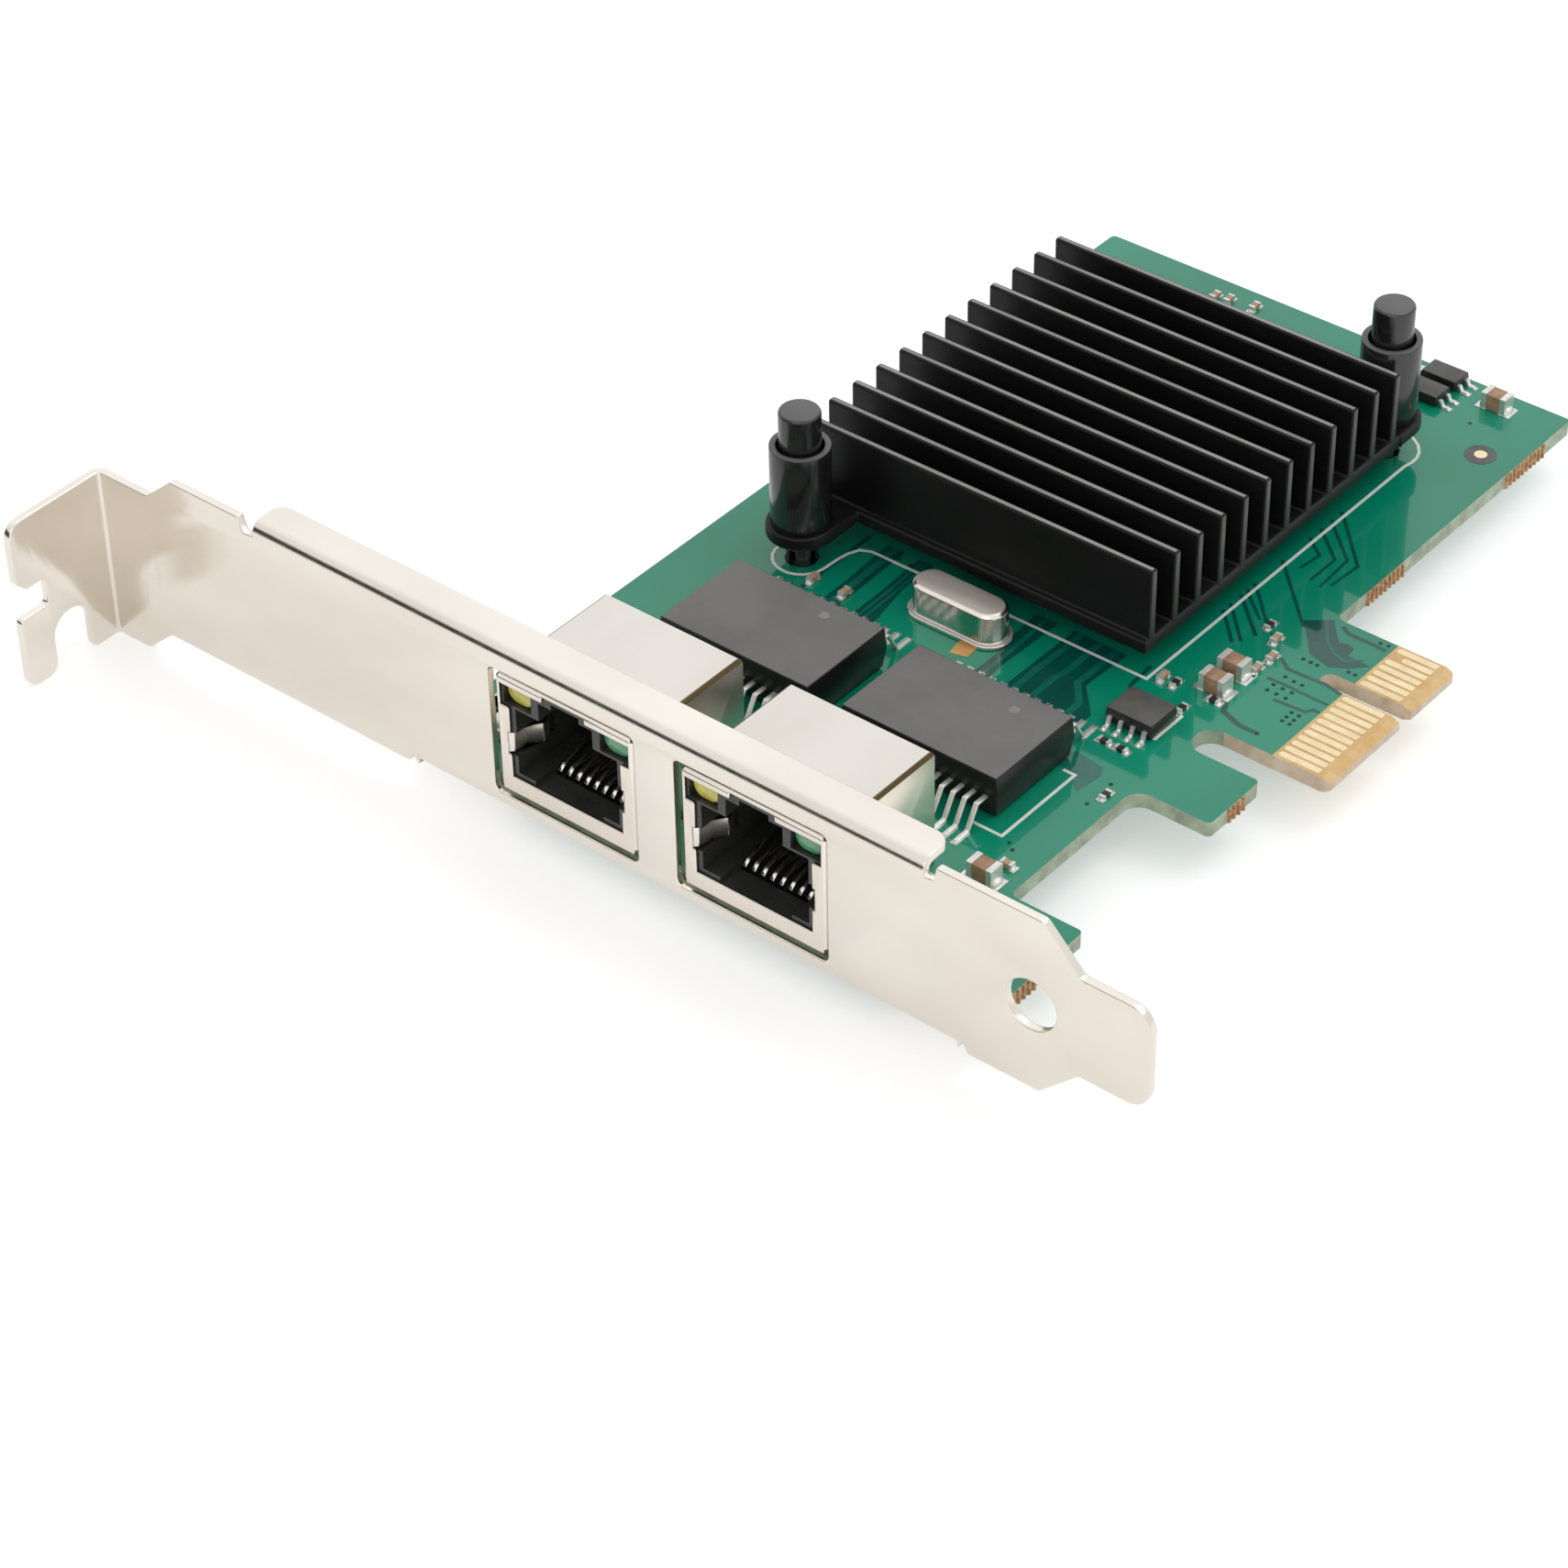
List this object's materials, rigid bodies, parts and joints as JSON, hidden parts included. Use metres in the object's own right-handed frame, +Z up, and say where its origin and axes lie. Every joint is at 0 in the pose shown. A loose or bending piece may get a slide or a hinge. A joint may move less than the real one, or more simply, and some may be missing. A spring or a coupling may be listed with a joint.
{
  "type": "network interface card",
  "caption": "Two-port network card for a server slot: green board with gold edge connector, shielded sockets, finned heat sink and folded steel bracket.",
  "frame": {"origin": "middle of the underside of the whole card, level with the lowest edge of the bracket", "axes": "+X along the bracket from its bent tab to its tongue, which is also the way the edge connector goes into its slot; +Y from the bracket towards the back edge of the board; +Z up from the board through the parts on it"},
  "size_m": [0.12, 0.1176, 0.0228],
  "materials": {
    "bracket_nickel": "satin nickel plate",
    "screw_steel": "bright nickel plate",
    "green_board": "semi-gloss lacquer",
    "gold_plating": "pale gold plate",
    "shield_nickel": "satin nickel plate",
    "housing_black": "fine matte",
    "contact_gold": "gold plate",
    "light_yellow": "clear tinted",
    "light_green": "clear tinted",
    "transformer_black": "fine matte",
    "tin": "bright tin",
    "chip_package": "fine matte",
    "pad_grey": "soft matte",
    "black_anodised": "satin black anodised",
    "pin_black": "semi-gloss",
    "can_nickel": "bright nickel",
    "moulded_black": "fine matte",
    "ceramic_brown": "fired ceramic",
    "ceramic_tan": "fired ceramic",
    "resistor_black": "glazed"
  },
  "bodies": {
    "root": {"bracket_screws": "screw_steel", "circuit_board": "green_board", "controller_chip": "chip_package", "crystal_can": "can_nickel", "crystal_leads": "tin", "edge_contacts": "gold_plating", "front_pin_plunger": "pin_black", "front_pin_sleeve": "pin_black", "heat_sink": "black_anodised", "large_capacitor_bodies": "ceramic_brown", "large_capacitor_ends": "tin", "left_green_light": "light_green", "left_socket_contacts": "contact_gold", "left_socket_housing": "housing_black", "left_socket_shield": "shield_nickel", "left_transformer_body": "transformer_black", "left_transformer_leads": "tin", "left_yellow_light": "light_yellow", "memory_chip_body": "moulded_black", "memory_chip_leads": "tin", "mounting_bracket": "bracket_nickel", "rear_pin_plunger": "pin_black", "rear_pin_sleeve": "pin_black", "regulator_bodies": "moulded_black", "regulator_leads": "tin", "right_green_light": "light_green", "right_socket_contacts": "contact_gold", "right_socket_housing": "housing_black", "right_socket_shield": "shield_nickel", "right_transformer_body": "transformer_black", "right_transformer_leads": "tin", "right_yellow_light": "light_yellow", "small_capacitor_bodies": "ceramic_tan", "small_capacitor_ends": "tin", "small_resistor_bodies": "resistor_black", "small_resistor_ends": "tin", "thermal_pad": "pad_grey"}
  },
  "joints": []
}
